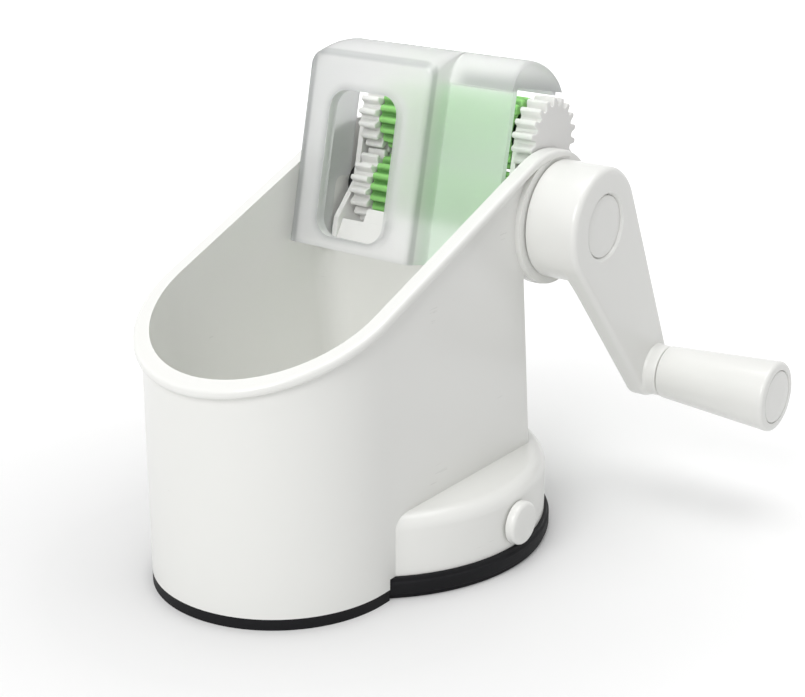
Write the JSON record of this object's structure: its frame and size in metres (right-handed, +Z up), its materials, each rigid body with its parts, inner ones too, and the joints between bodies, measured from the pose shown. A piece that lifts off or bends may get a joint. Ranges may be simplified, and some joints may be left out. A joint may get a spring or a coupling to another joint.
{
  "type": "hand-cranked pea sheller",
  "caption": "Tabletop sheller: a crank turns geared fluted rollers under a frosted hood above a bucket with a rounded front, held down by a lever-locked suction base.",
  "frame": {"origin": "centre of the rounded front of the bucket, in the plane of the table", "axes": "+Z up, -Y towards the low front lip, +X towards the crank"},
  "size_m": [0.1685, 0.173, 0.1457],
  "materials": {
    "white_gloss": "gloss",
    "white_matte": "satin",
    "black_rubber": "matte",
    "black_plastic": "satin",
    "green_roller": "satin",
    "steel": "brushed",
    "frosted_clear": "frosted"
  },
  "bodies": {
    "body": {"body_shell": "white_gloss", "front_foot": "black_rubber", "foot_screws": "steel", "guide_plate": "black_plastic", "plate_screws": "steel", "suction_cup": "black_rubber", "left_bearing_plate": "white_matte", "right_bearing_plate": "white_matte", "stripper_bar": "white_matte", "frame_screws": "steel", "right_wall_bush": "black_plastic", "left_wall_bush": "black_plastic", "axle_cap": "white_gloss", "upper_left_bush": "black_plastic", "upper_right_bush": "black_plastic"},
    "crank": {"lower_shaft": "steel", "lower_roller": "green_roller", "lower_left_gear": "white_matte", "lower_right_gear": "white_matte", "thrust_washer": "steel", "crank_arm": "white_gloss", "hub_cap": "white_gloss", "crank_screw": "steel", "grip_pin": "steel"},
    "grip": {"grip": "white_gloss", "grip_cap": "white_gloss"},
    "upper_roller_set": {"upper_shaft": "steel", "upper_roller": "green_roller", "upper_left_gear": "white_matte", "upper_right_gear": "white_matte"},
    "hood": {"hood": "frosted_clear"},
    "suction_lever": {"cam_shaft": "white_matte", "suction_lever": "black_plastic", "lever_screw": "steel", "lever_cap": "white_gloss"},
    "stem": {"cup_stem": "white_matte", "cup_insert": "white_matte"}
  },
  "joints": [
    {"name": "crank_turn", "type": "hinge", "parent": "body", "child": "crank", "pos_m": [0, 0.086, 0.0966], "axis": [1, 0, 0], "continuous": true},
    {"name": "grip_spin", "type": "hinge", "parent": "crank", "child": "grip", "pos_m": [0.0815, 0.1214, 0.0408], "axis": [1, 0, 0], "continuous": true},
    {"name": "upper_roller_turn", "type": "hinge", "parent": "body", "child": "upper_roller_set", "pos_m": [0, 0.09106, 0.11945], "axis": [1, 0, 0], "continuous": true},
    {"name": "hood_lift", "type": "slide", "parent": "body", "child": "hood", "axis": [0, 0.2164, 0.9763], "range_m": [0, 0.06]},
    {"name": "suction_lever_turn", "type": "hinge", "parent": "body", "child": "suction_lever", "pos_m": [0, 0.0448, 0.0142], "axis": [1, 0, 0], "range_deg": [0, 90]},
    {"name": "cup_stem_slide", "type": "slide", "parent": "body", "child": "stem", "axis": [0, 0, 1], "range_m": [-0.002, 0], "deforming": ["suction_cup"]}
  ],
  "couplings": [
    {"joint": "upper_roller_turn", "follows": "crank_turn", "ratio": -1},
    {"joint": "cup_stem_slide", "follows": "suction_lever_turn", "m_per_rad": -0.0012732}
  ]
}
